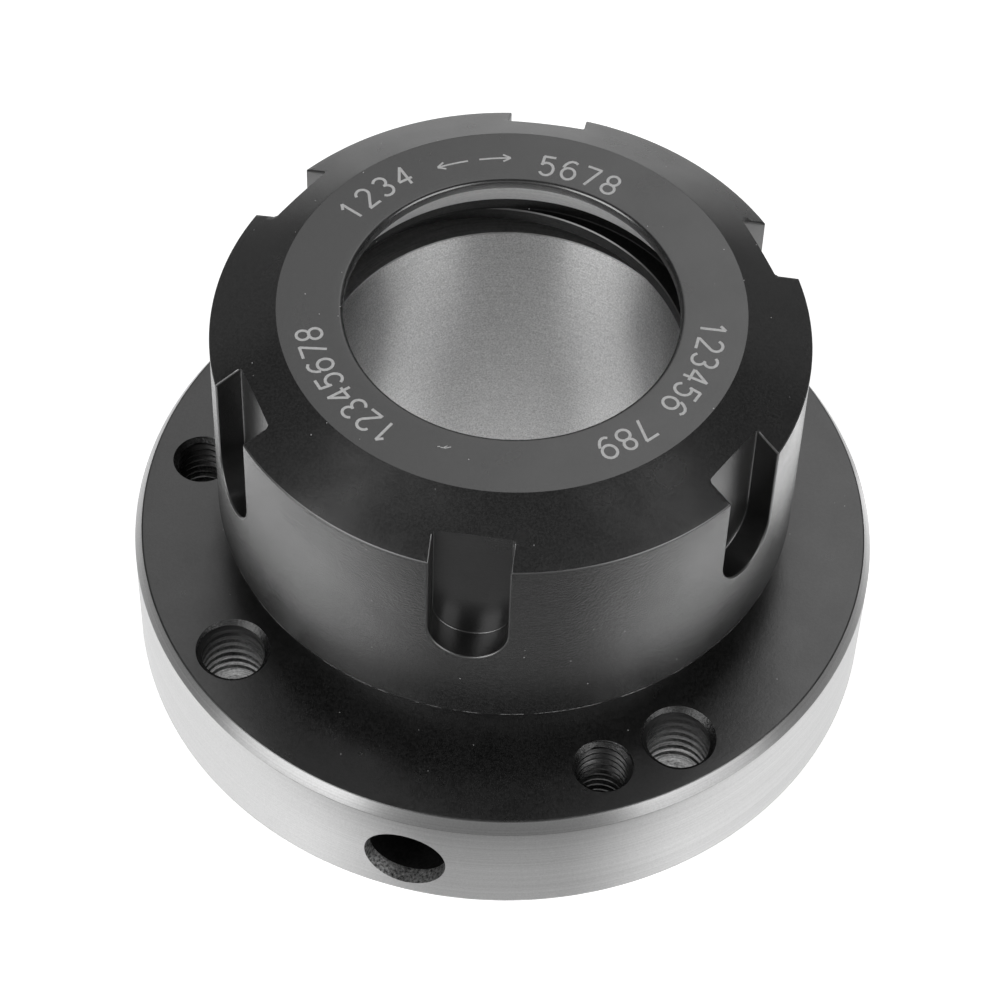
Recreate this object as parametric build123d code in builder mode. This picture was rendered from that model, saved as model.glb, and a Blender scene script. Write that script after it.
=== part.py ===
from build123d import *
import math
import os

# Flange-back collet chuck with its clamping nut screwed on, in millimetres.
# The chuck's axis is Z. The origin is the middle of the flange's back face, and the nut's face looks up.
# Angles of patterns are azimuths in degrees about Z, from +X towards +Y.

# Flange
flange_radius = 50.8
flange_thickness = 18.0
flange_bevel_width = 1.05
flange_bevel_height = 1.78
flange_edge_break = 0.3
flange_back_break = 0.3

# Register recess that centres the chuck on its backplate
register_radius = 36.0
register_depth = 3.5

# Nose with its taper seat for the collet, and the bore behind it
body_height = 48.6
seat_mouth_radius = 25.0
seat_half_angle = 8.0
through_bore_radius = 19.0

# Nose thread M64 x 2, drawn as a plain cylinder at its pitch radius
nose_thread_radius = 32.0
nose_thread_pitch = 2.0
pitch_depth_share = 0.32475
thread_running_clearance = 0.05
nose_end_chamfer = 1.3
neck_radius = 30.2
neck_length = 5.0

# Tapped holes through the flange on one circle, drawn at tap size: four M10 and three M8
mounting_circle_inset = 7.8
large_hole_tap_radius = 4.25
large_hole_mouth_radius = 5.0
large_hole_count = 4
large_hole_azimuth = 34.4
small_hole_tap_radius = 3.4
small_hole_mouth_radius = 4.05
small_hole_count = 3
small_hole_azimuth = 49.5

# Blind hole in the rim for a holding bar
bar_hole_radius = 5.3
bar_hole_depth = 12.0
bar_hole_mouth_radius = 5.6
bar_hole_mouth_depth = 2.1
bar_hole_height = 7.5
bar_hole_azimuth = -102.8

# Clamping nut, outside
nut_outer_radius = 39.0
nut_flange_gap = 8.4
nut_side_height = 31.0
nut_bottom_break = 0.5
nut_bevel_angle = 30.2
nut_face_outer_radius = 30.28

# Spanner slots round the nut, run out through the bevel
slot_count = 6
slot_azimuth = 24.15
slot_width = 10.15
slot_floor_distance = 35.1
slot_length_below_shoulder = 18.4
slot_edge_break = 0.35

# Clamping nut, inside: mouth, clamping cone, undercut, eccentric lip and thread
nut_mouth_radius = 21.7
nut_mouth_break = 0.55
nut_mouth_depth = 1.4
clamping_cone_half_angle = 30.0
clamping_cone_end_radius = 25.0
undercut_radius = 26.45
undercut_length = 2.9
lip_thickness = 2.1
lip_hole_radius = 26.2
lip_hole_offset = 2.75
lip_to_nose_gap = 1.3
nut_thread_relief_radius = 32.5
nut_thread_relief_length = 4.0
nut_thread_entry_chamfer = 1.1

# Heights and radii that follow from these
mounting_circle_radius = flange_radius - mounting_circle_inset
pitch_radius = nose_thread_radius - pitch_depth_share * nose_thread_pitch
nose_radius = pitch_radius - thread_running_clearance
neck_end_height = flange_thickness + neck_length
neck_step = nose_radius - neck_radius
seat_length = (seat_mouth_radius - through_bore_radius) / math.tan(math.radians(seat_half_angle))
seat_end_height = body_height - seat_length
nut_bottom_height = flange_thickness + nut_flange_gap
nut_shoulder_height = nut_bottom_height + nut_side_height
nut_bevel_width = nut_outer_radius - nut_face_outer_radius
nut_bevel_height = nut_bevel_width * math.tan(math.radians(nut_bevel_angle))
nut_face_height = nut_shoulder_height + nut_bevel_height
clamping_cone_width = clamping_cone_end_radius - nut_mouth_radius
clamping_cone_length = clamping_cone_width / math.tan(math.radians(clamping_cone_half_angle))
mouth_bottom_height = nut_face_height - nut_mouth_depth
clamping_cone_end_height = mouth_bottom_height - clamping_cone_length
lip_bottom_height = body_height + lip_to_nose_gap
lip_top_height = lip_bottom_height + lip_thickness
undercut_top_height = lip_top_height + undercut_length
lip_blank_radius = lip_hole_radius - 2 * lip_hole_offset
relief_bottom_height = lip_bottom_height - nut_thread_relief_length
slot_end_radius = slot_width / 2
slot_end_height = nut_shoulder_height - slot_length_below_shoulder + slot_end_radius
slot_corner_distance = math.hypot(slot_floor_distance, slot_end_radius)
same_size = 0.001


# Circular edges of one radius at one height
def rings(solid, radius, height):
    circles = solid.edges().filter_by(GeomType.CIRCLE)
    at_height = circles.filter_by_position(Axis.Z, height - same_size, height + same_size)
    return at_height.filter_by(lambda edge: abs(edge.radius - radius) < same_size)


# Body: one turned piece with the flange, the neck, the threaded nose and the taper seat
with BuildPart() as chuck_body:
    with BuildSketch(Plane.XZ):
        with BuildLine():
            Polyline(
                (through_bore_radius, register_depth),
                (register_radius, register_depth),
                (register_radius, 0),
                (flange_radius, 0),
                (flange_radius, flange_thickness - flange_bevel_height),
                (flange_radius - flange_bevel_width, flange_thickness),
                (neck_radius, flange_thickness),
                (neck_radius, neck_end_height),
                (nose_radius, neck_end_height + neck_step),
                (nose_radius, body_height),
                (seat_mouth_radius, body_height),
                (through_bore_radius, seat_end_height),
                close=True,
            )
        make_face()
    revolve(axis=Axis.Z)

    # Turned edges
    chamfer(rings(chuck_body, flange_radius - flange_bevel_width, flange_thickness), flange_edge_break)
    chamfer(rings(chuck_body, nose_radius, body_height), nose_end_chamfer)
    chamfer(rings(chuck_body, flange_radius, 0), flange_back_break)

    # Tapped holes, countersunk at the front of the flange
    with Locations((0, 0, flange_thickness)):
        with PolarLocations(mounting_circle_radius, large_hole_count, start_angle=large_hole_azimuth):
            Hole(large_hole_tap_radius, flange_thickness)
        with PolarLocations(mounting_circle_radius, small_hole_count, start_angle=small_hole_azimuth):
            Hole(small_hole_tap_radius, flange_thickness)
    large_hole_rings = rings(chuck_body, large_hole_tap_radius, flange_thickness)
    chamfer(large_hole_rings, large_hole_mouth_radius - large_hole_tap_radius)
    small_hole_rings = rings(chuck_body, small_hole_tap_radius, flange_thickness)
    chamfer(small_hole_rings, small_hole_mouth_radius - small_hole_tap_radius)

    # Bar hole, bored towards the axis, with a wider mouth
    bar_direction = Vector(1, 0, 0).rotate(Axis.Z, bar_hole_azimuth)
    bar_hole_mouth = Plane(
        origin=bar_direction * flange_radius + Vector(0, 0, bar_hole_height),
        z_dir=bar_direction,
    )
    with Locations(bar_hole_mouth):
        CounterBoreHole(bar_hole_radius, bar_hole_mouth_radius, bar_hole_mouth_depth, bar_hole_depth)

# Cutter for one spanner slot: flat floor, round lower end, open at the top
with BuildPart() as slot_cutter:
    with BuildSketch(Plane.YZ.offset(slot_floor_distance)):
        with Locations((0, slot_end_height)):
            Circle(slot_end_radius)
            Rectangle(slot_width, nut_face_height, align=(Align.CENTER, Align.MIN))
    extrude(amount=nut_outer_radius)

# Clamping nut: one turned piece with its eccentric lip, and the spanner slots milled in
with BuildPart() as clamping_nut:
    with BuildSketch(Plane.XZ):
        with BuildLine():
            Polyline(
                (pitch_radius, nut_bottom_height),
                (nut_outer_radius, nut_bottom_height),
                (nut_outer_radius, nut_shoulder_height),
                (nut_face_outer_radius, nut_face_height),
                (nut_mouth_radius, nut_face_height),
                (nut_mouth_radius, mouth_bottom_height),
                (clamping_cone_end_radius, clamping_cone_end_height),
                (undercut_radius, undercut_top_height),
                (undercut_radius, lip_top_height),
                (lip_blank_radius, lip_top_height),
                (lip_blank_radius, lip_bottom_height),
                (nut_thread_relief_radius, lip_bottom_height),
                (nut_thread_relief_radius, relief_bottom_height),
                (pitch_radius, relief_bottom_height - nut_thread_relief_radius + pitch_radius),
                close=True,
            )
        make_face()
    revolve(axis=Axis.Z)

    # Hole of the lip, bored off the axis so that the lip hooks into the collet's groove
    with BuildSketch(Plane.XY.offset(lip_bottom_height)):
        with Locations((-lip_hole_offset, 0)):
            Circle(lip_hole_radius)
    extrude(amount=lip_thickness, mode=Mode.SUBTRACT)

    # Turned edges
    chamfer(rings(clamping_nut, nut_outer_radius, nut_bottom_height), nut_bottom_break)
    chamfer(rings(clamping_nut, pitch_radius, nut_bottom_height), nut_thread_entry_chamfer)
    chamfer(rings(clamping_nut, nut_mouth_radius, nut_face_height), nut_mouth_break)

    # Spanner slots, with the edges of their walls broken where they meet the outside
    with PolarLocations(0, slot_count, start_angle=slot_azimuth):
        add(slot_cutter.part, mode=Mode.SUBTRACT)
    slot_edges = clamping_nut.edges(Select.LAST).filter_by(GeomType.CIRCLE, reverse=True)
    outer_edges = slot_edges.filter_by(
        lambda edge: math.hypot(edge.center().X, edge.center().Y) > slot_corner_distance + slot_edge_break
    )
    seams = outer_edges.filter_by_position(Axis.Z, slot_end_height - same_size, slot_end_height + same_size)
    chamfer(outer_edges - seams, slot_edge_break)

chuck_body.part.label = "chuck_body"
clamping_nut.part.label = "clamping_nut"

os.makedirs("parts", exist_ok=True)
export_step(chuck_body.part, "parts/chuck_body.step")
export_step(clamping_nut.part, "parts/clamping_nut.step")
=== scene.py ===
import math
import bmesh
import bpy
from mathutils import Matrix, Vector


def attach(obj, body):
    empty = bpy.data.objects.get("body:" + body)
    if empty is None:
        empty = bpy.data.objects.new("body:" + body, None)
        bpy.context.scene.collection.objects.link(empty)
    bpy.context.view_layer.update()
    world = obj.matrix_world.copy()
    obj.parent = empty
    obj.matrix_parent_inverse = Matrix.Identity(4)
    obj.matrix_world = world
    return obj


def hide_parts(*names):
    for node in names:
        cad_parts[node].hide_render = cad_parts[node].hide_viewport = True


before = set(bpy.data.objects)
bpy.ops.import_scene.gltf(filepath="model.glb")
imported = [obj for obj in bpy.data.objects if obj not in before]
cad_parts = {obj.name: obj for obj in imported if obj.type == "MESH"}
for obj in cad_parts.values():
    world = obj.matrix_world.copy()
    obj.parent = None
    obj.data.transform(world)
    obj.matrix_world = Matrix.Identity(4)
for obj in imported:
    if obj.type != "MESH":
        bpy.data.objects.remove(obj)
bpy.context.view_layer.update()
mm = 0.001  # sizes are in millimetres and angles in degrees, unless a comment says otherwise


# Camera: stands in front (-Y) and looks down on the nut, as the photograph does
cameraSpot = {  # its turns are in radians
    "place": (0.0, -297.69, 407.53), "yaw": -0.0019669, "pitch": 0.9137443, "roll": 0.0396147,
    "lens": 127.85, "sensor": 36, "near": 10, "far": 20000,
}


def placeCamera(spot):
    yaw, pitch, roll = spot["yaw"], spot["pitch"], spot["roll"]
    ahead = Vector((math.sin(yaw) * math.cos(pitch), math.cos(yaw) * math.cos(pitch), -math.sin(pitch)))
    level = Vector((math.cos(yaw), -math.sin(yaw), 0))
    above = level.cross(ahead)
    right = level * math.cos(roll) + above * math.sin(roll)
    up = above * math.cos(roll) - level * math.sin(roll)
    data = bpy.data.cameras.new("camera")
    data.lens, data.sensor_width = spot["lens"], spot["sensor"]
    data.clip_start, data.clip_end = spot["near"] * mm, spot["far"] * mm
    camera = bpy.data.objects.new("camera", data)
    turn = Matrix((right, up, -ahead)).transposed().to_4x4()
    camera.matrix_world = Matrix.Translation(Vector(spot["place"]) * mm) @ turn
    bpy.context.scene.collection.objects.link(camera)
    bpy.context.scene.camera = camera


placeCamera(cameraSpot)
print("camera placed")


# Materials
def tone(code):  # sRGB hex to linear
    parts = [int(code[i:i + 2], 16) / 255 for i in (1, 3, 5)]
    return [p / 12.92 if p <= 0.04045 else ((p + 0.055) / 1.055) ** 2.4 for p in parts] + [1.0]


def addNode(material, kind, settings=None, links=None):
    node = material.node_tree.nodes.new(kind)
    for key, value in (settings or {}).items():
        if isinstance(key, int) or key in node.inputs:
            node.inputs[key].default_value = value
        else:
            setattr(node, key, value)
    for key, (source, output) in (links or {}).items():
        material.node_tree.links.new(source.outputs[output], node.inputs[key])
    return node


def newMaterial(name):
    material = bpy.data.materials.new(name)
    material.use_nodes = True
    material.node_tree.nodes.clear()
    return material


metalLook = {
    "runRadius": 40,  # the run of turned lines is measured at this radius
    "quarterTurn": 0.25,  # turns the glints so that they stretch across the lines
    # spans of a noise's value over which a finish changes
    "mottle": (0.42, 0.58), "shade": (0.35, 0.65), "patches": (0.3, 0.7), "rubbedSpan": 0.08,
    "roughnessSpread": 0.03, "speckCell": 2.0, "speckShare": 0.4, "speckColour": "#a8a8a8",
    "sootColour": "#5a5a5a",
}


def fromAxis(material):
    # the parts of a place on the object, and its distance from the axis
    spot = addNode(material, "ShaderNodeTexCoord")
    parts = addNode(material, "ShaderNodeSeparateXYZ", {}, {"Vector": (spot, "Object")})
    flat = addNode(material, "ShaderNodeCombineXYZ", {}, {"X": (parts, "X"), "Y": (parts, "Y")})
    return parts, addNode(material, "ShaderNodeVectorMath", {"operation": "LENGTH"}, {0: (flat, 0)})


def latheSpace(material, run, pitch):
    # a position for noise that runs round the axis: radius and height change fast, the way round slowly
    parts, radius = fromAxis(material)
    angle = addNode(material, "ShaderNodeMath", {"operation": "ARCTAN2"}, {0: (parts, "Y"), 1: (parts, "X")})
    fast, slow = 1 / (pitch * mm), metalLook["runRadius"] / run
    across = addNode(material, "ShaderNodeMath", {"operation": "MULTIPLY", 1: fast}, {0: (radius, "Value")})
    up = addNode(material, "ShaderNodeMath", {"operation": "MULTIPLY", 1: fast}, {0: (parts, "Z")})
    way = addNode(material, "ShaderNodeMath", {"operation": "MULTIPLY", 1: slow}, {0: (angle, 0)})
    return addNode(material, "ShaderNodeCombineXYZ", {}, {"X": (across, 0), "Y": (up, 0), "Z": (way, 0)})


def turnedShader(material, settings, links):
    # the shader of a turned surface: its glints lie across the lines that run round the axis
    tangent = addNode(material, "ShaderNodeTangent", {"direction_type": "RADIAL", "axis": "Z"})
    shader = addNode(material, "ShaderNodeBsdfPrincipled",
                     {**settings, "Anisotropic Rotation": metalLook["quarterTurn"]},
                     {**links, "Tangent": (tangent, 0)})
    addNode(material, "ShaderNodeOutputMaterial", {}, {"Surface": (shader, 0)})


def blackOxide(name, facts):
    # Black oxide (magnetite) grown on turned steel and oiled: near black and satin, with a soft grey sheen
    material = newMaterial(name)
    spot = addNode(material, "ShaderNodeTexCoord")
    lines = addNode(material, "ShaderNodeTexNoise", {"Scale": 1.0, "Detail": 2.0, "Roughness": 0.6},
                    {"Vector": (latheSpace(material, facts["lineRun"], facts["linePitch"]), 0)})
    grain = addNode(material, "ShaderNodeTexNoise",
                    {"Scale": 1 / (facts["grain"] * mm), "Detail": 4.0, "Roughness": 0.65},
                    {"Vector": (spot, "Object")})
    patches = addNode(material, "ShaderNodeTexNoise", {"Scale": 1 / (facts["patch"] * mm), "Detail": 3.0},
                      {"Vector": (spot, "Object")})
    low, high = metalLook["mottle"]
    mottle = addNode(material, "ShaderNodeMapRange", {"From Min": low, "From Max": high},
                     {"Value": (grain, "Fac")})
    colour = addNode(material, "ShaderNodeMix",
                     {"data_type": "RGBA", 6: tone(facts["dark"]), 7: tone(facts["light"])},
                     {0: (mottle, "Result")})
    # dust and bare points: a small dot in some cells of a coarse pattern
    cell = metalLook["speckCell"]
    cells = addNode(material, "ShaderNodeTexVoronoi", {"Scale": 1 / (cell * mm)},
                    {"Vector": (spot, "Object")})
    small = addNode(material, "ShaderNodeMath", {"operation": "LESS_THAN", 1: facts["speck"] / cell},
                    {0: (cells, "Distance")})
    split = addNode(material, "ShaderNodeSeparateColor", {}, {"Color": (cells, "Color")})
    chosen = addNode(material, "ShaderNodeMath",
                     {"operation": "GREATER_THAN", 1: 1 - metalLook["speckShare"]}, {0: (split, "Red")})
    speck = addNode(material, "ShaderNodeMath", {"operation": "MULTIPLY"}, {0: (small, 0), 1: (chosen, 0)})
    dusted = addNode(material, "ShaderNodeMix", {"data_type": "RGBA", 7: tone(metalLook["speckColour"])},
                     {0: (speck, 0), 6: (colour, 2)})
    share = addNode(material, "ShaderNodeMath", {"operation": "MULTIPLY", 1: facts["lineShare"]},
                    {0: (lines, "Fac")})
    both = addNode(material, "ShaderNodeMath", {"operation": "ADD"}, {0: (share, 0), 1: (grain, "Fac")})
    (low, high), spread = metalLook["patches"], metalLook["roughnessSpread"]
    rough = addNode(material, "ShaderNodeMapRange", {
        "From Min": low, "From Max": high,
        "To Min": facts["roughness"] - spread, "To Max": facts["roughness"] + spread},
        {"Value": (patches, "Fac")})
    bump = addNode(material, "ShaderNodeBump", {"Strength": 1.0, "Distance": facts["bump"] * mm},
                   {"Height": (both, 0)})
    turnedShader(material, {"IOR": facts["ior"], "Anisotropic": facts["anisotropy"]},
                 {"Base Color": (dusted, 2), "Roughness": (rough, "Result"), "Normal": (bump, 0)})
    return material


def rubbedOxideWithGlints(name, facts):
    # Black oxide on a broken edge, rubbed down to bright steel in places: glints in short runs. Where the
    # runs are long and near white, as on the nut's bottom edge, they are partly wear and partly painted
    # glints of the edge catching the light
    material = newMaterial(name)
    spot = addNode(material, "ShaderNodeTexCoord")
    worn = addNode(material, "ShaderNodeTexNoise",
                   {"Scale": 1 / (facts["run"] * mm), "Detail": 5.0, "Roughness": 0.7},
                   {"Vector": (spot, "Object")})
    start = facts["rubbedAndGlintFrom"]
    # where the edge is bright: rubbed steel, and on the nut's bottom edge also painted glints
    rubbedAndGlint = addNode(material, "ShaderNodeMapRange",
                   {"From Min": start, "From Max": start + metalLook["rubbedSpan"]}, {"Value": (worn, "Fac")})
    colour = addNode(material, "ShaderNodeMix",
                     {"data_type": "RGBA", 6: tone(facts["dark"]), 7: tone(facts["light"])},
                     {0: (rubbedAndGlint, "Result")})
    shader = addNode(material, "ShaderNodeBsdfPrincipled",
                     {"IOR": facts["ior"], "Roughness": facts["roughness"]},
                     {"Base Color": (colour, 2), "Metallic": (rubbedAndGlint, "Result")})
    addNode(material, "ShaderNodeOutputMaterial", {}, {"Surface": (shader, 0)})
    return material


def brightSteel(name, facts):
    # Bare carbon steel, turned or ground: bright grey metal with fine lines and grain from the cut
    material = newMaterial(name)
    spot = addNode(material, "ShaderNodeTexCoord")
    if facts.get("level"):  # in holes beside the axis the lines lie level, whichever way the wall faces
        run, pitch = 1 / (facts["lineRun"] * mm), 1 / (facts["linePitch"] * mm)
        space = addNode(material, "ShaderNodeVectorMath", {"operation": "MULTIPLY", 1: (run, run, pitch)},
                        {0: (spot, "Object")})
    else:
        space = latheSpace(material, facts["lineRun"], facts["linePitch"])
    lines = addNode(material, "ShaderNodeTexNoise", {"Scale": 1.0, "Detail": 4.0, "Roughness": 0.7},
                    {"Vector": (space, 0)})
    grain = addNode(material, "ShaderNodeTexNoise",
                    {"Scale": 1 / (facts["grain"] * mm), "Detail": 4.0, "Roughness": 0.65},
                    {"Vector": (spot, "Object")})
    both = addNode(material, "ShaderNodeMix", {0: facts["grainShare"]},
                   {2: (lines, "Fac"), 3: (grain, "Fac")})
    low, high = metalLook["shade"]
    shade = addNode(material, "ShaderNodeMapRange", {"From Min": low, "From Max": high}, {"Value": (both, 0)})
    colour = addNode(material, "ShaderNodeMix",
                     {"data_type": "RGBA", 6: tone(facts["dark"]), 7: tone(facts["light"])},
                     {0: (shade, "Result")})
    if "blackFrom" in facts:  # oxide some turns down the thread: bare below one height, black above the other
        low, high = facts["blackFrom"]
        parts = addNode(material, "ShaderNodeSeparateXYZ", {}, {"Vector": (spot, "Object")})
        cover = addNode(material, "ShaderNodeMapRange", {"From Min": low * mm, "From Max": high * mm},
                        {"Value": (parts, "Z")})
        colour = addNode(material, "ShaderNodeMix", {"data_type": "RGBA", 7: tone(metalLook["sootColour"])},
                         {0: (cover, "Result"), 6: (colour, 2)})
    bump = addNode(material, "ShaderNodeBump", {"Strength": 1.0, "Distance": facts["bump"] * mm},
                   {"Height": (both, 0)})
    turnedShader(material, {
        "Metallic": 1.0, "Roughness": facts["roughness"], "Anisotropic": facts["anisotropy"]},
        {"Base Color": (colour, 2), "Normal": (bump, 0)})
    return material


def laserMark(name, facts):
    # Laser marking burnt through the black oxide: matt pale grey, slightly uneven
    material = newMaterial(name)
    spot = addNode(material, "ShaderNodeTexCoord")
    worn = addNode(material, "ShaderNodeTexNoise", {"Scale": 1 / (facts["grain"] * mm), "Detail": 3.0},
                   {"Vector": (spot, "Object")})
    colour = addNode(material, "ShaderNodeMix",
                     {"data_type": "RGBA", 6: tone(facts["dark"]), 7: tone(facts["light"])},
                     {0: (worn, "Fac")})
    shader = addNode(material, "ShaderNodeBsdfPrincipled", {"Roughness": facts["roughness"]},
                     {"Base Color": (colour, 2)})
    addNode(material, "ShaderNodeOutputMaterial", {}, {"Surface": (shader, 0)})
    return material


# Turned lines are really under 0.1 mm apart, and the oxide's grain is finer still: both are drawn as coarse
# as they have to be to show in a render of the whole part. Bump is the depth of the pattern.
finishes = {
    # faced in the lathe, blackened and oiled: even satin black
    "flangeOxide": blackOxide("flange_black_oxide", {
        "dark": "#0c0c0c", "light": "#202020", "ior": 2.4, "roughness": 0.3, "anisotropy": 0.0,
        "linePitch": 0.3, "lineRun": 20.0, "lineShare": 0.25, "grain": 0.35, "patch": 6.0, "bump": 0.02,
        "speck": 0.08}),
    # turned finer than the flange: glossier, and the glints stretch a little
    "nutOxide": blackOxide("nut_black_oxide", {
        "dark": "#090909", "light": "#202020", "ior": 2.4, "roughness": 0.25, "anisotropy": 0.25,
        "linePitch": 0.3, "lineRun": 20.0, "lineShare": 0.4, "grain": 0.3, "patch": 7.0, "bump": 0.006,
        "speck": 0.09}),
    # turned along its length: the sheen runs up and down the side
    "sideOxide": blackOxide("nut_side_black_oxide", {
        "dark": "#080808", "light": "#1e1e1e", "ior": 2.4, "roughness": 0.24, "anisotropy": 0.4,
        "linePitch": 0.3, "lineRun": 20.0, "lineShare": 0.4, "grain": 0.35, "patch": 7.0, "bump": 0.045,
        "speck": 0.09}),
    # milled, so there is no one direction in the sheen
    "slotOxide": blackOxide("milled_black_oxide", {
        "dark": "#0c0c0c", "light": "#121212", "ior": 2.2, "roughness": 0.3, "anisotropy": 0.0,
        "linePitch": 0.4, "lineRun": 20.0, "lineShare": 1.0, "grain": 0.3, "patch": 8.0, "bump": 0.015,
        "speck": 0.0}),
    # broken edges: bright where handling has rubbed through
    "edgeOxide": rubbedOxideWithGlints("rubbed_edge_oxide", {
        "dark": "#1c1c1c", "light": "#b0b0b0", "ior": 2.4, "roughness": 0.35, "run": 1.2, "rubbedAndGlintFrom": 0.66}),
    # countersunk and blackened: uneven, dark
    "mouthOxide": blackOxide("countersink_black_oxide", {
        "dark": "#050505", "light": "#1c1c1c", "ior": 1.7, "roughness": 0.26, "anisotropy": 0.0,
        "linePitch": 0.3, "lineRun": 5.0, "lineShare": 0.5, "grain": 0.35, "patch": 3.0, "bump": 0.09,
        "speck": 0.08}),
    # the nut's bottom edge: rubbed bright in dashes, partly wear and partly painted glints of the edge
    # catching the light
    "dashedOxide": rubbedOxideWithGlints("dashed_edge_oxide", {
        "dark": "#161616", "light": "#f0f0f0", "ior": 2.4, "roughness": 0.35, "run": 4.5, "rubbedAndGlintFrom": 0.52}),
    # rough turned, oily and out of the light: dull black
    "insideOxide": blackOxide("inside_black_oxide", {
        "dark": "#030303", "light": "#121212", "ior": 1.35, "roughness": 0.5, "anisotropy": 0.0,
        "linePitch": 0.4, "lineRun": 20.0, "lineShare": 1.0, "grain": 0.4, "patch": 3.0, "bump": 0.03,
        "speck": 0.1}),
    # finish turned after blackening: bright, with long fine lines
    "rimSteel": brightSteel("turned_rim_steel", {
        "dark": "#b2b2b2", "light": "#d0d0d0", "roughness": 0.32, "anisotropy": 0.6,
        "linePitch": 0.2, "lineRun": 90.0, "grain": 0.25, "grainShare": 0.4, "bump": 0.002}),
    # ground: no lines to see, a fine silky grain
    "taperSteel": brightSteel("ground_taper_steel", {
        "dark": "#bcbcbc", "light": "#f6f6f6", "roughness": 0.42, "anisotropy": 1.0,
        "linePitch": 0.2, "lineRun": 30.0, "grain": 0.22, "grainShare": 0.8, "bump": 0.001}),
    # ground coarser: a duller grey ring
    "coneSteel": brightSteel("ground_cone_steel", {
        "dark": "#b0b0b0", "light": "#d0d0d0", "roughness": 0.45, "anisotropy": 0.3,
        "linePitch": 0.25, "lineRun": 40.0, "grain": 0.5, "grainShare": 0.5, "bump": 0.006}),
    # turned and left as cut: plain grey
    "noseSteel": brightSteel("turned_nose_steel", {
        "dark": "#a0a0a0", "light": "#c8c8c8", "roughness": 0.5, "anisotropy": 0.2,
        "linePitch": 0.25, "lineRun": 8.0, "grain": 0.5, "grainShare": 0.4, "bump": 0.008}),
    # tapped: torn, bright crests low down, blackened near the top
    "threadSteel": brightSteel("tapped_thread_steel", {
        "dark": "#585858", "light": "#f0f0f0", "roughness": 0.5, "anisotropy": 0.0, "level": True,
        "linePitch": 0.45, "lineRun": 5.0, "grain": 0.35, "grainShare": 0.35, "bump": 0.09,
        "blackFrom": (9.0, 16.0)}),
    # tapped and blackened: dark, with grey crests
    "threadOxide": brightSteel("blackened_thread_steel", {
        "dark": "#181818", "light": "#909090", "roughness": 0.35, "anisotropy": 0.0, "level": True,
        "linePitch": 0.45, "lineRun": 5.0, "grain": 0.3, "grainShare": 0.35, "bump": 0.05,
        "blackFrom": (11.0, 17.0)}),
    # drilled and torn: bright and dark grains
    "mouthSteel": brightSteel("torn_mouth_steel", {
        "dark": "#242424", "light": "#f4f4f4", "roughness": 0.45, "anisotropy": 0.0, "level": True,
        "linePitch": 0.3, "lineRun": 1.0, "grain": 0.35, "grainShare": 0.8, "bump": 0.05}),
    # drilled: rough and bright below the thread
    "drilledSteel": brightSteel("drilled_steel", {
        "dark": "#585858", "light": "#f0f0f0", "roughness": 0.55, "anisotropy": 0.0, "level": True,
        "linePitch": 0.5, "lineRun": 3.0, "grain": 0.35, "grainShare": 0.5, "bump": 0.09}),
}
markFinish = laserMark("laser_mark", {"dark": "#a8a8a8", "light": "#d8d8d8", "roughness": 0.7, "grain": 0.4})
finishOrder = list(finishes)
print("materials made:", len(finishes))


# Shapes
def atAngle(radius, angle, height, centre=(0.0, 0.0)):
    return (centre[0] + radius * math.cos(angle), centre[1] + radius * math.sin(angle), height)


def roundedProfile(corners, step=22.5):
    # corners: radius, height, rounding, finish of the band that follows, and the rounding's own finish if any
    points = []
    for i, (r, z, rounding, finish, *edge) in enumerate(corners):
        here = Vector((r, z))
        if not rounding:
            points.append((r, z, finish))
            continue
        back = (Vector(corners[i - 1][:2]) - here).normalized()
        onward = (Vector(corners[(i + 1) % len(corners)][:2]) - here).normalized()
        half = back.angle(onward) / 2
        middle = here + (back + onward).normalized() * rounding / math.sin(half)
        first = here + back * rounding / math.tan(half) - middle
        last = here + onward * rounding / math.tan(half) - middle
        turn = first.angle_signed(last)
        count = max(2, math.ceil(abs(math.degrees(turn)) / step))
        for k in range(count + 1):
            arm = first.copy()
            arm.rotate(Matrix.Rotation(-turn * k / count, 2))
            spot = middle + arm
            points.append((spot.x, spot.y, finish if k == count else (edge or [corners[i - 1][3]])[0]))
    return points


def threadRows(groove):
    # share of the pitch and depth at the corners of one turn: crest from 0, then the flanks and the root
    crestEnd, rootStart, rootEnd = groove
    return [(0, 0), (crestEnd, 0), (rootStart, 1), (rootEnd, 1)]


def fadedGroove(thread, radius, low, high):
    # the thread's radius: its groove fades in and out over one pitch at each end
    def radiusAt(depth, height):
        fade = max(0.0, min(1.0, (height - low) / thread["pitch"], (high - height) / thread["pitch"]))
        return radius + thread["depth"] * depth * fade
    return radiusAt


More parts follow.
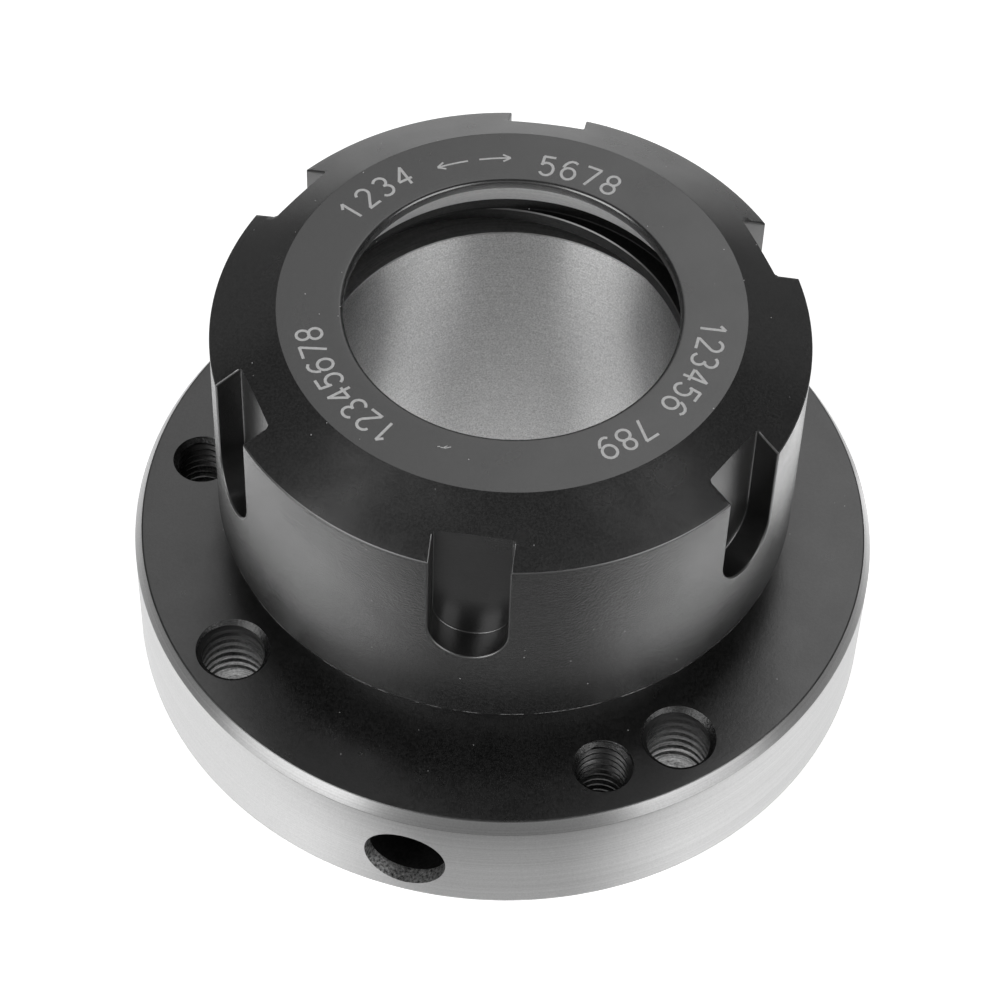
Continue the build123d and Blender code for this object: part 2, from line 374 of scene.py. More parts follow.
def helicalBand(bm, low, high, span, thread, radiusAt, centre=(0.0, 0.0)):
    # rows of points that climb one pitch per turn, joined to a flat ring at each end
    sides, rows, pitch = len(low), thread["rows"], thread["pitch"]
    lead = 0.2 * pitch  # left plain at each end
    turns = int((span[1] - span[0] - 2 * lead) / pitch) - 1
    grid = []
    for j in range(turns * len(rows) + 1):
        share, depth = rows[j % len(rows)]
        line = []
        for i in range(sides):
            z = span[0] + lead + pitch * (j // len(rows) + share + i / sides)
            line.append(bm.verts.new(atAngle(radiusAt(depth, z), math.tau * i / sides, z, centre)))
        grid.append(line)
    per, count, faces = len(rows), len(grid) - 1, []
    for i in range(sides - 1):
        for j in range(count):
            faces.append((grid[j][i], grid[j][i + 1], grid[j + 1][i + 1], grid[j + 1][i]))
        faces.append((low[i], low[i + 1], grid[0][i + 1], grid[0][i]))
        faces.append((grid[count][i], grid[count][i + 1], high[i + 1], high[i]))
    # the seam, where each turn meets the next one up
    for j in range(count - per):
        faces.append((grid[j][-1], grid[j + per][0], grid[j + per + 1][0], grid[j + 1][-1]))
    faces.append([low[-1], low[0]] + [grid[j][0] for j in range(per + 1)] + [grid[0][-1]])
    faces.append([grid[count - per][-1], grid[count][0], high[0], high[-1]]
                 + [grid[j][-1] for j in range(count, count - per, -1)])
    return [bm.faces.new(f) for f in faces]


def addBand(bm, low, high, finish):
    # a closed band of faces between two loops of points
    count = len(low)
    for k in range(count):
        face = bm.faces.new((low[k], low[(k + 1) % count], high[(k + 1) % count], high[k]))
        face.material_index = finishOrder.index(finish)


def capEnds(bm, loops, finish):
    for loop in (loops[0], loops[-1]):
        bm.faces.new(loop).material_index = finishOrder.index(finish)


def turnedMesh(bm, points, sides, rowLength=1.2, thread=None, centre=(0.0, 0.0), closed=True):
    # a profile turned about an upright line, in rows no longer than rowLength; a thread band is helical
    rings = []
    count = len(points) if closed else len(points) - 1
    for i in range(count):
        (r, z, finish), (r2, z2, _) = points[i], points[(i + 1) % len(points)]
        parts = 1 if finish == "thread" else max(1, math.ceil(math.hypot(r2 - r, z2 - z) / rowLength))
        rings += [(r + (r2 - r) * k / parts, z + (z2 - z) * k / parts, finish) for k in range(parts)]
    if not closed:
        rings.append(points[-1])
    turns = [math.tau * i / sides for i in range(sides)]
    verts = [[bm.verts.new(atAngle(r, turn, z, centre)) for turn in turns] for r, z, _ in rings]
    for i in range(len(rings) if closed else len(rings) - 1):
        (r, z, finish), (r2, z2, _) = rings[i], rings[(i + 1) % len(rings)]
        one, two = verts[i], verts[(i + 1) % len(rings)]
        if finish == "thread":
            if z > z2:
                one, two, z, z2 = two, one, z2, z
            for face in helicalBand(bm, one, two, (z, z2), thread, fadedGroove(thread, r, z, z2), centre):
                face.material_index = finishOrder.index(thread["finish"])
        else:
            addBand(bm, one, two, finish)
    return verts


def newPiece(name, bm, materials=None):
    bmesh.ops.recalc_face_normals(bm, faces=bm.faces)
    bmesh.ops.scale(bm, vec=(mm, mm, mm), verts=bm.verts)
    mesh = bpy.data.meshes.new(name)
    bm.to_mesh(mesh)
    bm.free()
    for material in materials or finishes.values():
        mesh.materials.append(material)
    piece = bpy.data.objects.new(name, mesh)
    bpy.context.scene.collection.objects.link(piece)
    return piece


def cutAway(piece, cutters):
    for cutter in cutters:
        step = piece.modifiers.new("cut", "BOOLEAN")
        step.operation, step.solver, step.material_mode, step.object = "DIFFERENCE", "EXACT", "INDEX", cutter
        graph = bpy.context.evaluated_depsgraph_get()
        cut = bpy.data.meshes.new_from_object(piece.evaluated_get(graph))
        piece.modifiers.clear()
        piece.data = cut
        bpy.data.objects.remove(cutter)


def smoothShading(piece, sharpFrom=30):
    piece.data.polygons.foreach_set("use_smooth", [True] * len(piece.data.polygons))
    piece.data.set_sharp_from_angle(angle=math.radians(sharpFrom))
    weigh = piece.modifiers.new("weighted normals", "WEIGHTED_NORMAL")
    weigh.keep_sharp, weigh.weight = True, 80


def keepUsedFinishes(piece):
    # drops the finishes that no face of the piece has
    used = sorted({p.material_index for p in piece.data.polygons})
    order = {old: new for new, old in enumerate(used)}
    indices = [order[p.material_index] for p in piece.data.polygons]
    piece.data.materials.clear()
    for old in used:
        piece.data.materials.append(finishes[finishOrder[old]])
    piece.data.polygons.foreach_set("material_index", indices)


# Body: the flange, the neck, the threaded nose and the taper seat, turned in one
turnedSides = 288
flange = {  # the main sizes of the body and the nut repeat the CAD source's
    "radius": 50.8, "height": 18.0, "bevelWidth": 1.05, "bevelHeight": 1.78, "bevelRound": 0.25,
    "edgeRound": 0.3, "backBreak": 0.12, "registerRadius": 36.0, "registerDepth": 3.5, "registerRound": 0.2,
    "boreRadius": 19.0,
}
nose = {  # groove: shares of the pitch where the thread's crest ends, and where its root starts and ends
    "height": 48.6, "mouthRadius": 25.0, "mouthRound": 0.2, "taperHalfAngle": 8.0, "taperEndRound": 0.3,
    "crestRadius": 31.3, "rootRadius": 30.77, "pitch": 2.0, "groove": (0.5, 0.653, 0.847),
    "endChamfer": 1.3, "endRound": 0.1, "neckRadius": 30.2, "neckEnd": 23.0,
}
holeCircle = 43.0
screwHoles = [  # radii of the drill, the thread's root and the mouth, and the height where the thread starts
    {"drill": 4.25, "outer": 5.0, "mouth": 5.0, "pitch": 1.5, "groove": (0.5, 0.7, 0.8), "threadFrom": 6.2,
     "count": 4, "azimuth": 34.4, "finish": "threadSteel"},
    {"drill": 3.4, "outer": 4.0, "mouth": 4.05, "pitch": 1.25, "groove": (0.25, 0.5625, 0.6875),
     "threadFrom": -1.0, "count": 3, "azimuth": 49.5, "finish": "threadOxide"},
]
screwCutter = {"sides": 48, "above": 3.5, "below": 1.0}
barHole = {
    "radius": 5.3, "depth": 12.0, "mouthRadius": 5.6, "mouthDepth": 2.1, "height": 7.5, "azimuth": -102.8,
    "sides": 72, "rowLength": 0.6, "outside": 2,
}
taperEnd = nose["height"] - (nose["mouthRadius"] - flange["boreRadius"]) / math.tan(math.radians(
    nose["taperHalfAngle"]))
bodyCorners = [
    (flange["boreRadius"], flange["registerDepth"], 0, "flangeOxide"),
    (flange["registerRadius"], flange["registerDepth"], 0, "flangeOxide"),
    (flange["registerRadius"], 0, flange["registerRound"], "flangeOxide"),
    (flange["radius"], 0, flange["backBreak"], "rimSteel"),
    (flange["radius"], flange["height"] - flange["bevelHeight"], flange["bevelRound"], "rimSteel"),
    (flange["radius"] - flange["bevelWidth"], flange["height"], flange["edgeRound"], "flangeOxide",
     "flangeOxide"),
    (nose["neckRadius"], flange["height"], 0, "flangeOxide"),
    (nose["neckRadius"], nose["neckEnd"], 0, "noseSteel"),
    (nose["crestRadius"], nose["neckEnd"] + nose["crestRadius"] - nose["neckRadius"], 0, "thread"),
    (nose["crestRadius"], nose["height"] - nose["endChamfer"], 0, "noseSteel"),
    (nose["crestRadius"] - nose["endChamfer"], nose["height"], nose["endRound"], "noseSteel"),
    (nose["mouthRadius"], nose["height"], nose["mouthRound"], "taperSteel"),
    (flange["boreRadius"], taperEnd, nose["taperEndRound"], "taperSteel"),
]
# External thread, cut off at its pitch line so that it clears the nut's at every turn
noseThread = {
    "pitch": nose["pitch"], "rows": threadRows(nose["groove"]),
    "depth": nose["rootRadius"] - nose["crestRadius"], "finish": "noseSteel",
}


def screwHoleCutter(hole, azimuth):
    # tapped hole: a plain drilled part, the helical thread, and a 45 degree countersink that runs out on top
    bm = bmesh.new()
    centre = (holeCircle * math.cos(azimuth), holeCircle * math.sin(azimuth))
    sides, top, below = screwCutter["sides"], flange["height"] + screwCutter["above"], -screwCutter["below"]
    thread = {"pitch": hole["pitch"], "rows": threadRows(hole["groove"])}
    starts = max(hole["threadFrom"], below)
    mouthFrom = flange["height"] - hole["mouth"] + hole["drill"]

    def radiusAt(depth, height):
        fade = max(0.0, min(1.0, (height - starts) / hole["pitch"]))
        groove = hole["drill"] + (hole["outer"] - hole["drill"]) * depth * fade
        return max(groove, hole["mouth"] - (flange["height"] - height))

    def ring(radius, z):
        return [bm.verts.new(atAngle(radius, math.tau * i / sides, z, centre)) for i in range(sides)]

    start, end = ring(hole["drill"], starts), ring(hole["mouth"] + top - flange["height"], top)
    for face in helicalBand(bm, start, end, (starts, top), thread, radiusAt, centre):
        inMouth = face.calc_center_median().z > mouthFrom
        face.material_index = finishOrder.index("mouthOxide" if inMouth else hole["finish"])
    bottom = start
    if starts > below:
        bottom = ring(hole["drill"], below)
        addBand(bm, bottom, start, "drilledSteel")
    capEnds(bm, (bottom, end), "threadSteel")
    return newPiece("screw_hole_cutter", bm)


def barHoleCutter():
    # blind hole square to the axis, black inside, opening out slightly at its torn mouth
    bm = bmesh.new()
    rim = flange["radius"]
    points = [
        (barHole["radius"], rim - barHole["depth"], "insideOxide"),
        (barHole["radius"], rim - barHole["mouthDepth"], "mouthSteel"),
        (barHole["mouthRadius"], rim, "mouthSteel"),
        (barHole["mouthRadius"], rim + barHole["outside"], "mouthSteel"),
    ]
    verts = turnedMesh(bm, points, barHole["sides"], barHole["rowLength"], closed=False)
    capEnds(bm, verts, "insideOxide")
    lift = Matrix.Translation((0, 0, barHole["height"]))
    turn = Matrix.Rotation(math.radians(barHole["azimuth"]), 4, "Z")
    along = Matrix.Rotation(math.radians(90), 4, "Y")
    bmesh.ops.transform(bm, matrix=lift @ turn @ along, verts=bm.verts)
    return newPiece("bar_hole_cutter", bm)


bm = bmesh.new()
turnedMesh(bm, roundedProfile(bodyCorners), turnedSides, thread=noseThread)
body = newPiece("chuck_body_turned", bm)
cutters = [barHoleCutter()]
for hole in screwHoles:
    for k in range(hole["count"]):
        cutters.append(screwHoleCutter(hole, math.radians(hole["azimuth"] + 360 * k / hole["count"])))
cutAway(body, cutters)
keepUsedFinishes(body)
smoothShading(body)
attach(body, "chuck_body")
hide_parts("chuck_body")
print("body made:", len(body.data.polygons), "faces")


# Clamping nut: turned, with its eccentric lip, and six slots milled in from the side
nut = {
    "radius": 39.0, "bottom": 26.4, "bottomRound": 0.5, "shoulder": 57.4, "shoulderRound": 0.3,
    "bevelAngle": 30.2, "faceRadius": 30.28, "faceRound": 0.15, "mouthRadius": 21.7, "mouthBreak": 0.55,
    "mouthDepth": 1.4, "coneRadius": 25.0, "coneHalfAngle": 30.0, "coneRound": 0.1,
    "undercutRadius": 26.45, "undercutTop": 54.9, "lipTop": 52.0, "lipBottom": 49.9, "lipBlankRadius": 20.7,
    "innerRound": 0.2, "reliefRadius": 32.5, "reliefBottom": 45.9,
    "threadCrest": 31.35, "threadRoot": 32.0, "pitch": 2.0, "groove": (0.5, 0.69, 0.81), "entryChamfer": 1.1,
    "sunk": 0.014,  # the face lies a hair low, so that the marks stay within the nut's height
}
lipHole = {
    "radius": 26.2, "offset": 2.75, "topBreak": 0.18, "lowBreak": 0.15, "lowCone": 1.05, "above": 0.02,
    "sides": 192, "rowLength": 1.0,
}
slots = {
    "count": 6, "azimuth": 24.15, "width": 10.15, "floor": 35.1, "endCentre": 44.075,
    "edgeRound": 0.28, "floorCorner": 0.22, "endSteps": 32, "outside": 42.0,
    # heights of the points down a wall, close together round the shoulder and 1 mm apart below it
    "heights": [64, 61.5, 60.2, 59.8, 59.5, 59.2, 58.8, 58.3, 57.8, nut["shoulder"], 57.0, 56.5, 55.5]
               + [54.5 - k for k in range(11)],
    "floorTurns": (0, 30, 60, 90), "edgeTurns": (0, 22.5, 45, 67.5), "edgeRunout": 0.3,
    "bevelShift": 0.575,  # how far the rounded edge steps down along the bevel, as a share of its depth
}
bevelRise = (nut["radius"] - nut["faceRadius"]) * math.tan(math.radians(nut["bevelAngle"]))
faceHeight = nut["shoulder"] + bevelRise - nut["sunk"]
coneTop = faceHeight - nut["mouthDepth"]
coneLength = (nut["coneRadius"] - nut["mouthRadius"]) / math.tan(math.radians(nut["coneHalfAngle"]))
nutCorners = [
    (nut["threadCrest"] + nut["entryChamfer"], nut["bottom"], 0, "nutOxide"),
    (nut["radius"], nut["bottom"], nut["bottomRound"], "sideOxide", "dashedOxide"),
    (nut["radius"], nut["shoulder"], nut["shoulderRound"], "nutOxide", "edgeOxide"),
    (nut["faceRadius"], faceHeight, nut["faceRound"], "nutOxide"),
    (nut["mouthRadius"], faceHeight, nut["mouthBreak"], "nutOxide"),
    (nut["mouthRadius"], coneTop, nut["coneRound"], "coneSteel"),
    (nut["coneRadius"], coneTop - coneLength, 0, "insideOxide"),
    (nut["undercutRadius"], nut["undercutTop"], 0, "insideOxide"),
    (nut["undercutRadius"], nut["lipTop"], nut["innerRound"], "insideOxide"),
    (nut["lipBlankRadius"], nut["lipTop"], 0, "insideOxide"),
    (nut["lipBlankRadius"], nut["lipBottom"], 0, "insideOxide"),
    (nut["reliefRadius"], nut["lipBottom"], nut["innerRound"], "insideOxide"),
    (nut["reliefRadius"], nut["reliefBottom"], 0, "insideOxide"),
    (nut["threadCrest"], nut["reliefBottom"] - nut["reliefRadius"] + nut["threadCrest"], 0, "thread"),
    (nut["threadCrest"], nut["bottom"] + nut["entryChamfer"], 0, "insideOxide"),
]
nutThread = {
    "pitch": nut["pitch"], "rows": threadRows(nut["groove"]),
    "depth": nut["threadRoot"] - nut["threadCrest"], "finish": "insideOxide",
}


def lipHoleCutter():
    # bored off the axis, towards -X, so that the lip hooks into the collet's groove on the other side
    bm = bmesh.new()
    radius, top, low = lipHole["radius"], nut["lipTop"] + lipHole["above"], nut["lipBottom"]
    cone = lipHole["lowCone"]
    points = [
        (radius + cone, low + lipHole["lowBreak"] - cone, "insideOxide"),
        (radius, low + lipHole["lowBreak"], "insideOxide"),
        (radius, top - lipHole["topBreak"], "edgeOxide"),
        (radius + lipHole["topBreak"], top, "insideOxide"),
    ]
    verts = turnedMesh(bm, points, lipHole["sides"], lipHole["rowLength"],
                       centre=(-lipHole["offset"], 0), closed=False)
    capEnds(bm, verts, "insideOxide")
    return newPiece("lip_hole_cutter", bm)


def outsideReach(across, height, depth):
    # how far out from the axis the nut's outside lies, less a depth below it, at a place across the slot
    slope = math.radians(nut["bevelAngle"])
    side = nut["radius"] - depth
    bevel = nut["radius"] - (height - nut["shoulder"]) / math.tan(slope) - depth / math.sin(slope)
    radius = min(side, bevel)
    return math.sqrt(max(radius * radius - across * across, 1.0))


def slotPath():
    # the U-shaped tool path: place across the slot and height, and the way out of the slot there
    half, middle, steps = slots["width"] / 2, slots["endCentre"], slots["endSteps"]
    path = [(-half, z, -1, 0) for z in slots["heights"]]
    for k in range(steps + 1):
        turn = math.pi * (1 + k / steps)
        path.append((half * math.cos(turn), middle + half * math.sin(turn), math.cos(turn), math.sin(turn)))
    return path + [(half, z, 1, 0) for z in reversed(slots["heights"])]


def slotLevels():
    # the slot's section from the floor outwards: kind of level, distance out or below the outside, and flare
    rounding, corner = slots["edgeRound"], slots["floorCorner"]
    levels = []
    for turn in slots["floorTurns"]:
        a = math.radians(turn)
        levels.append(("floor", slots["floor"] + corner * (1 - math.cos(a)), -corner * (1 - math.sin(a))))
    for turn in slots["edgeTurns"]:
        a = math.radians(turn)
        levels.append(("edge", rounding * (1 - math.sin(a)), rounding * (1 - math.cos(a))))
    # the cutter leaves the nut at the slope of its last level, and then goes straight out
    steep = math.tan(math.radians(slots["edgeTurns"][-1]))
    _, depth, flare = levels[-1]
    levels.append(("edge", -slots["edgeRunout"], flare + (depth + slots["edgeRunout"]) * steep))
    levels.append(("out", slots["outside"], levels[-1][2]))
    return levels


def slotCutter(azimuth):
    # round-ended slot with a small radius at the floor, flared where it meets the outside of the nut
    path, levels = slotPath(), slotLevels()
    bm = bmesh.new()
    loops = []
    for kind, amount, offset in levels:
        loop = []
        for i, (t, z, wayAcross, wayUp) in enumerate(path):
            across, height = t + wayAcross * offset, z + wayUp * offset
            if kind == "edge":
                if z >= nut["shoulder"]:
                    height -= slots["bevelShift"] * amount
                out = outsideReach(across, height, amount)
                out = max(out, loops[-1][i].co.x + 0.002)  # each level lies outside the one before
            else:
                out = amount
            loop.append(bm.verts.new((out, across, height)))
        loops.append(loop)
    bands = ["slotOxide"] * len(slots["floorTurns"]) + ["edgeOxide"] * len(slots["edgeTurns"]) + ["slotOxide"]
    for low, high, finish in zip(loops, loops[1:], bands):
        addBand(bm, low, high, finish)
    capEnds(bm, loops, "slotOxide")
    bmesh.ops.transform(bm, matrix=Matrix.Rotation(azimuth, 4, "Z"), verts=bm.verts)
    return newPiece("slot_cutter", bm)


bm = bmesh.new()
turnedMesh(bm, roundedProfile(nutCorners), turnedSides, thread=nutThread)
clampingNut = newPiece("clamping_nut_turned", bm)
cutters = [lipHoleCutter()]
for k in range(slots["count"]):
    cutters.append(slotCutter(math.radians(slots["azimuth"] + 360 * k / slots["count"])))
cutAway(clampingNut, cutters)
keepUsedFinishes(clampingNut)
smoothShading(clampingNut)
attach(clampingNut, "clamping_nut")
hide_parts("clamping_nut")
print("nut made:", len(clampingNut.data.polygons), "faces")


# Laser marks on the nut's face: plain numbers and the two turn arrows, and a scratch
marks = {
    "proud": 0.006, "deep": 0.05, "step": 0.003, "height": 3.3, "charWidth": 2.0, "line": 0.38,
    "words": [  # digits, first and last azimuth, radius
        ("1234", 144.8, 125.0, 26.4), ("5678", 81.0, 60.4, 24.9), ("123456 789", -5.6, -61.0, 25.9),
        ("12345678", -125.3, -166.4, 26.4),
    ],
    # azimuth of each arrow and the way it points
    "arrows": [(109.6, -1), (96.9, 1)], "arrowRadius": 25.8, "arrowLine": 0.26,
    "arrowStrokes": [
        [(-2.1, 0), (-0.7, 0), (0.7, 0), (2.1, 0)], [(1.1, 0.6), (2.1, 0.02)], [(1.1, -0.6), (2.1, -0.02)],
    ],
    "scratchAzimuth": -107.9, "scratchRadius": 24.8, "scratchLine": 0.13,
    "scratchStrokes": [
        [(-0.7, -0.3), (-0.1, 0.1), (0.5, 0.2)], [(-0.2, -0.3), (0.1, 0.05)], [(0.6, 0.1), (0.9, 0.25)],
    ],
}


def bow(x, y, wide, tall, start, end, step=20):
    count = max(3, int(abs(end - start) / step))
    turns = [math.radians(start + (end - start) * k / count) for k in range(count + 1)]
    return [(x + wide * math.cos(t), y + tall * math.sin(t)) for t in turns]


digitStrokes = {  # in a box 1 wide and 1 high
    "1": [[(0.22, 0.78), (0.56, 1.0)], [(0.55, 1.0), (0.55, 0.0)]],
    "2": [bow(0.5, 0.73, 0.43, 0.27, 165, -30) + [(0.06, 0.03)], [(0.0, 0.0), (1.0, 0.0)]],
    "3": [bow(0.45, 0.75, 0.42, 0.25, 150, -80), bow(0.45, 0.26, 0.48, 0.27, 85, -150)],
    "4": [[(0.72, 0.0), (0.72, 1.0)], [(0.74, 1.0), (0.04, 0.33)], [(0.0, 0.3), (1.0, 0.3)]],
    "5": [[(0.92, 1.0), (0.16, 1.0)], [(0.2, 1.0), (0.14, 0.52)], bow(0.46, 0.33, 0.48, 0.34, 140, -150)],
    "6": [bow(0.6, 0.45, 0.56, 0.55, 60, 165), bow(0.5, 0.31, 0.46, 0.31, 90, 450)],
    "7": [[(0.04, 1.0), (0.98, 1.0)], [(0.94, 1.0), (0.36, 0.0)]],
    "8": [bow(0.5, 0.75, 0.38, 0.25, 90, 450), bow(0.5, 0.26, 0.46, 0.26, 90, 450)],
    "9": [bow(0.4, 0.55, 0.56, 0.55, -120, -15), bow(0.5, 0.69, 0.46, 0.31, 90, 450)],
}


def addRibbon(bm, line, width, bottom, top):
    # a thin flat bar along a line of points, squared off at its ends
    closed = (Vector(line[0]) - Vector(line[-1])).length < 1e-6
    points = [Vector(p) for p in (line[:-1] if closed else line)]
    count = len(points)
    rings = []
    for k, here in enumerate(points):
        before = points[k - 1] if k or closed else here
        after = points[(k + 1) % count] if k < count - 1 or closed else here
        one, two = here - before, after - here
        one = one.normalized() if one.length else two.normalized()
        two = two.normalized() if two.length else one
        along = (one + two).normalized()
        side = Vector((-along.y, along.x)) * width / 2 / max(0.5, along.dot(one))
        rings.append([bm.verts.new((*(here + side), bottom)), bm.verts.new((*(here - side), bottom)),
                      bm.verts.new((*(here - side), top)), bm.verts.new((*(here + side), top))])
    for k in range(count if closed else count - 1):
        one, two = rings[k], rings[(k + 1) % count]
        for m in range(4):
            bm.faces.new((one[m], one[(m + 1) % 4], two[(m + 1) % 4], two[m]))
    if not closed:
        bm.faces.new(rings[0])
        bm.faces.new(list(reversed(rings[-1])))


def onRing(points, azimuth, radius):
    # bends flat points, x clockwise and y outwards, round the nut's face
    turns = [(math.radians(azimuth) - x / radius, radius + y) for x, y in points]
    return [(r * math.cos(a), r * math.sin(a)) for a, r in turns]


def addMark(bm, strokes, azimuth, radius, width):
    # each stroke lies a hair above the last, so that none shares a plane where they cross
    bottom, top = faceHeight - marks["deep"], faceHeight + marks["proud"]
    for level, stroke in enumerate(strokes):
        addRibbon(bm, onRing(stroke, azimuth, radius), width, bottom, top + marks["step"] * level)


bm = bmesh.new()
for word, first, last, radius in marks["words"]:
    for k, letter in enumerate(word):
        azimuth = first + (last - first) * k / (len(word) - 1)
        strokes = [[((x - 0.5) * marks["charWidth"], (y - 0.5) * marks["height"]) for x, y in stroke]
                   for stroke in digitStrokes.get(letter, [])]
        addMark(bm, strokes, azimuth, radius, marks["line"])
for azimuth, way in marks["arrows"]:
    strokes = [[(way * x, y) for x, y in stroke] for stroke in marks["arrowStrokes"]]
    addMark(bm, strokes, azimuth, marks["arrowRadius"], marks["arrowLine"])
addMark(bm, marks["scratchStrokes"], marks["scratchAzimuth"], marks["scratchRadius"], marks["scratchLine"])
faceMarks = newPiece("nut_face_marks", bm, [markFinish])
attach(faceMarks, "clamping_nut")
print("marks made")


# Studio: a pale floor, two soft boxes, and dark and pale cloths and cards that only reflections see: the dark
# card paints shade and the glowing cards paint reflections onto the part
studio = {  # sizes in metres
    "floorSize": 8.0, "floorColour": "#f2f2f2", "floorLift": 0.65, "worldFill": 0.45,
    "boxes": [  # place, size, strength in watts; all look at the part
        ((-0.51, -0.43, 0.31), (0.5, 0.6), 2.6), ((0.54, -0.42, 0.31), (0.5, 0.6), 2.1),
    ],
    "boxesLookAt": (0, 0, 0.03),
    "tentRadius": 1.4, "tentStep": 5, "tentHeight": 0.0003, "floorRing": 0.085, "darkCloth": 0.065,
    "cloths": [  # azimuths and elevations from the part, and brightness; a floor ring counts as -5 to 0
        ("white_cloth_right", (45, 90), (32, 82), 0.74), ("white_cloth_left", (90, 125), (32, 82), 0.46),
        ("front_cloth", (235, 305), (0, 15), 0.24), ("high_front_cloth", (235, 305), (15, 40), 0.38),
        ("back_cloth", (30, 150), (0, 30), 0.13), ("side_floor", (0, 360), (-5, 0), 0.2),
        ("back_floor", (60, 120), (-5, 0), 0.8),
    ],
}
# glowing cards that only reflections see: painted reflections on the taper and along the nut's edges
floorCards = {  # in millimetres: first and last corner, and brightness
    "height": 0.2,
    "underBore": [
        ((-9, -34), (9, 34), 0.95), ((-21, -34), (-9, -3), 0.8), ((9, -34), (21, -1), 0.8),
        ((-21, -3), (-9, 34), 3.3), ((9, -1), (21, 34), 2.9),
    ],
    "beside": [((-72, 3), (-58, 30), 1.5), ((58, 3), (72, 30), 2.2)],
}
# painted shade: a dark card on the floor in front, seen only in reflections, that stands in for the part's
# own shadow on the floor and the dark side towards the camera. Radii in millimetres, with its cover and half
# width in degrees at each of them, and its middle in degrees from -Y
lowCard = {
    "radius": (58, 68), "cover": (0.55, 0.95), "width": (21, 40), "middle": 1.5, "fade": (0.4, 1.6),
    "from": 50.9, "to": 130, "turns": (195, 350, 5), "height": 0.1,
}


def seenStrength(material, seen, others):
    # one value for camera, glossy and transmission rays, another for the rest
    path = addNode(material, "ShaderNodeLightPath")
    either = addNode(material, "ShaderNodeMath", {"operation": "MAXIMUM"},
                     {0: (path, "Is Camera Ray"), 1: (path, "Is Glossy Ray")})
    either = addNode(material, "ShaderNodeMath", {"operation": "MAXIMUM"},
                     {0: (either, 0), 1: (path, "Is Transmission Ray")})
    return addNode(material, "ShaderNodeMapRange", {"To Min": others, "To Max": seen}, {"Value": (either, 0)})


def makeFloor():
    material = newMaterial("pale_floor")
    paper = addNode(material, "ShaderNodeBsdfDiffuse", {"Color": tone(studio["floorColour"])})
    glow = addNode(material, "ShaderNodeEmission", {},
                   {"Strength": (seenStrength(material, studio["floorLift"], 0.0), "Result")})
    both = addNode(material, "ShaderNodeAddShader", {}, {0: (paper, 0), 1: (glow, 0)})
    addNode(material, "ShaderNodeOutputMaterial", {}, {"Surface": (both, 0)})
    half = studio["floorSize"] / 2
    corners = [(-half, -half, 0), (half, -half, 0), (half, half, 0), (-half, half, 0)]
    mesh = bpy.data.meshes.new("floor")
    mesh.from_pydata(corners, [], [(0, 1, 2, 3)])
    mesh.materials.append(material)
    floor = bpy.data.objects.new("floor", mesh)
    bpy.context.scene.collection.objects.link(floor)


def makeWorld():
    world = bpy.data.worlds.new("studio")
    world.use_nodes = True
    world.node_tree.nodes.clear()
    white = addNode(world, "ShaderNodeBackground", {"Color": tone("#ffffff")},
                    {"Strength": (seenStrength(world, 1.0, studio["worldFill"]), "Result")})
    addNode(world, "ShaderNodeOutputWorld", {}, {"Surface": (white, 0)})
    bpy.context.scene.world = world


def makeBoxes():
    for k, (place, size, watts) in enumerate(studio["boxes"]):
        lamp = bpy.data.lights.new("soft_box_%d" % k, "AREA")
        lamp.shape, lamp.size, lamp.size_y, lamp.energy = "RECTANGLE", size[0], size[1], watts
        box = bpy.data.objects.new(lamp.name, lamp)
        box.location = place
        box.rotation_mode = "QUATERNION"
        ahead = Vector(studio["boxesLookAt"]) - Vector(place)
        box.rotation_quaternion = ahead.to_track_quat("-Z", "Y")
        box.visible_camera = False
        bpy.context.scene.collection.objects.link(box)


def glowingCloth(name, strength):
    cloth = newMaterial(name)
    glow = addNode(cloth, "ShaderNodeEmission", {"Strength": strength})
    addNode(cloth, "ShaderNodeOutputMaterial", {}, {"Surface": (glow, 0)})
    return cloth


def reflectionOnly(name, mesh):
    piece = bpy.data.objects.new(name, mesh)
    piece.visible_camera = piece.visible_diffuse = piece.visible_shadow = piece.visible_transmission = False
    bpy.context.scene.collection.objects.link(piece)


def makeTent():
    # dark tent: it keeps polished black surfaces dark except under its pale cloths
    mesh = bpy.data.meshes.new("dark_tent")
    cloths = [("dark_cloth", (0, 0), (0, 0), studio["darkCloth"])] + studio["cloths"]
    for name, _, _, strength in cloths:
        mesh.materials.append(glowingCloth(name, strength))
    bm = bmesh.new()
    size, step = studio["tentRadius"], studio["tentStep"]
    for azimuth in range(0, 360, step):
        for elevation in range(-step, 90, step):
            corners = []
            for a, e in ((0, 0), (step, 0), (step, step), (0, step)):
                tilt, reach = math.radians(elevation + e), size
                if elevation + e < 0:
                    tilt, reach = 0.0, studio["floorRing"]
                radius, height = reach * math.cos(tilt), studio["tentHeight"] + reach * math.sin(tilt)
                corners.append(bm.verts.new(atAngle(radius, math.radians(azimuth + a), height)))
            face = bm.faces.new(corners)
            for index, (_, turn, lift, _) in enumerate(cloths):
                if turn[0] <= azimuth < turn[1] and lift[0] <= elevation < lift[1]:
                    face.material_index = index
    bm.to_mesh(mesh)
    bm.free()
    reflectionOnly("dark_tent", mesh)


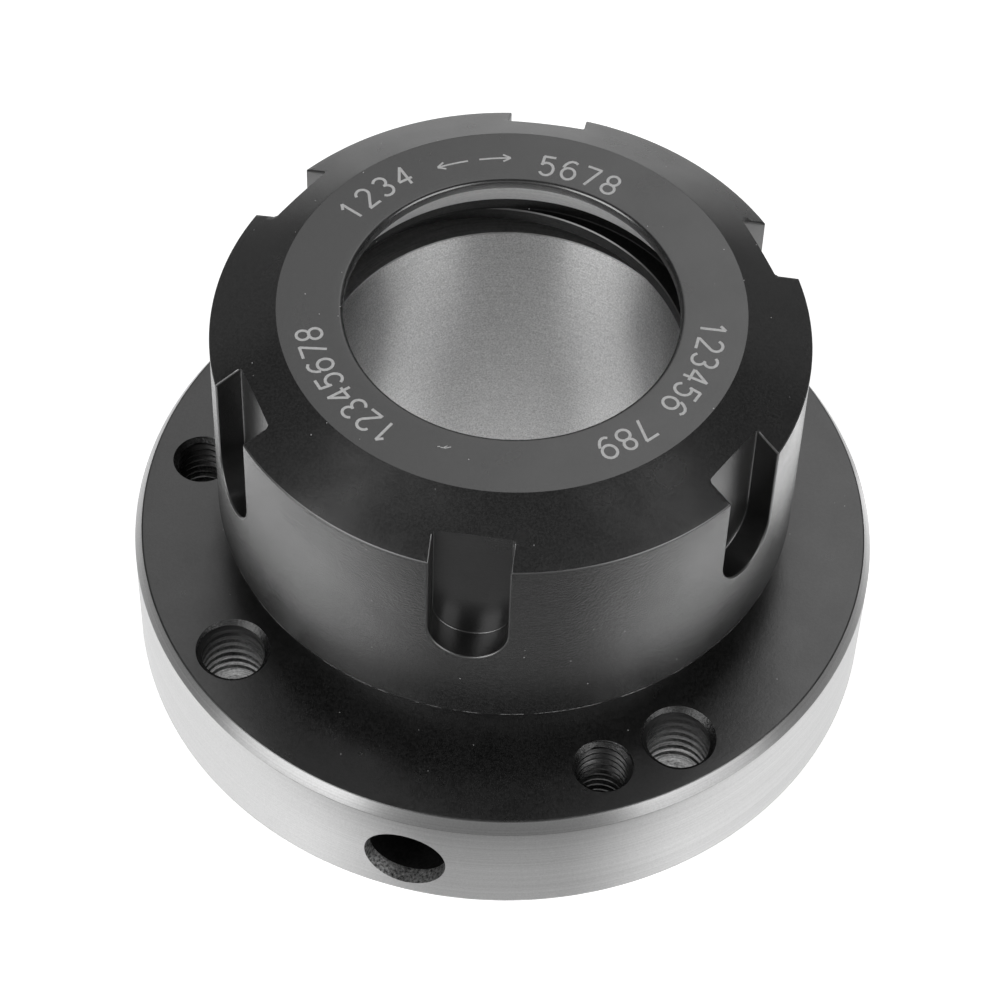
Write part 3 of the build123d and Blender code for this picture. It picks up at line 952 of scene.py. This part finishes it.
def makeLowCard():
    # dark card on the floor in front of the part, fading out at its sides, seen only in reflections: painted
    # shade that stands in for the part's own shadow on the floor and the dark side towards the camera
    material = newMaterial("painted_shade_card")
    parts, radius = fromAxis(material)
    front = addNode(material, "ShaderNodeMath", {"operation": "MULTIPLY", 1: -1.0}, {0: (parts, "Y")})
    angle = addNode(material, "ShaderNodeMath", {"operation": "ARCTAN2"}, {0: (parts, "X"), 1: (front, 0)})
    aside = addNode(material, "ShaderNodeMath",
                    {"operation": "SUBTRACT", 1: math.radians(lowCard["middle"])}, {0: (angle, 0)})
    aside = addNode(material, "ShaderNodeMath", {"operation": "ABSOLUTE"}, {0: (aside, 0)})
    near, far = lowCard["radius"]
    spans = {}
    for key, unit in (("width", math.radians(1)), ("cover", 1.0)):
        spans[key] = addNode(material, "ShaderNodeMapRange", {
            "From Min": near * mm, "From Max": far * mm,
            "To Min": lowCard[key][0] * unit, "To Max": lowCard[key][1] * unit},
            {"Value": (radius, "Value")})
    share = addNode(material, "ShaderNodeMath", {"operation": "DIVIDE"},
                    {0: (aside, 0), 1: (spans["width"], "Result")})
    full, gone = lowCard["fade"]
    fade = addNode(material, "ShaderNodeMapRange", {
        "interpolation_type": "SMOOTHSTEP", "From Min": full, "From Max": gone, "To Min": 1.0, "To Max": 0.0},
        {"Value": (share, 0)})
    cover = addNode(material, "ShaderNodeMath", {"operation": "MULTIPLY"},
                    {0: (fade, "Result"), 1: (spans["cover"], "Result")})
    clear = addNode(material, "ShaderNodeBsdfTransparent")
    dark = addNode(material, "ShaderNodeEmission", {"Strength": studio["darkCloth"]})
    both = addNode(material, "ShaderNodeMixShader", {}, {0: (cover, 0), 1: (clear, 0), 2: (dark, 0)})
    addNode(material, "ShaderNodeOutputMaterial", {}, {"Surface": (both, 0)})
    mesh = bpy.data.meshes.new("painted_shade_card")
    turns = [math.radians(a) for a in range(*lowCard["turns"])]
    height = lowCard["height"] * mm
    corners = [atAngle(r * mm, a, height) for r in (lowCard["from"], lowCard["to"]) for a in turns]
    count = len(turns)
    mesh.from_pydata(corners, [], [(k, k + 1, count + k + 1, count + k) for k in range(count - 1)])
    mesh.materials.append(material)
    reflectionOnly("painted_shade_card", mesh)


def makeFloorCards():
    # glowing cards seen only in reflections, which paint reflections onto the part: under the bore they
    # brighten the taper, most of all in bands on its sides, and one card for each edge of the nut paints the
    # bright strip along it
    mesh = bpy.data.meshes.new("floor_cards")
    corners, faces, z = [], [], floorCards["height"]
    for k, ((x, y), (x2, y2), strength) in enumerate(floorCards["underBore"] + floorCards["beside"]):
        mesh.materials.append(glowingCloth("floor_card_%d" % k, strength))
        faces.append(tuple(range(len(corners), len(corners) + 4)))
        corners += [Vector(corner) * mm for corner in ((x, y, z), (x2, y, z), (x2, y2, z), (x, y2, z))]
    mesh.from_pydata(corners, [], faces)
    for k, face in enumerate(mesh.polygons):
        face.material_index = k
    reflectionOnly("floor_cards", mesh)


makeFloor()
makeWorld()
makeBoxes()
makeTent()
makeLowCard()
makeFloorCards()
bpy.context.scene.view_settings.view_transform = "Standard"
print("studio made")
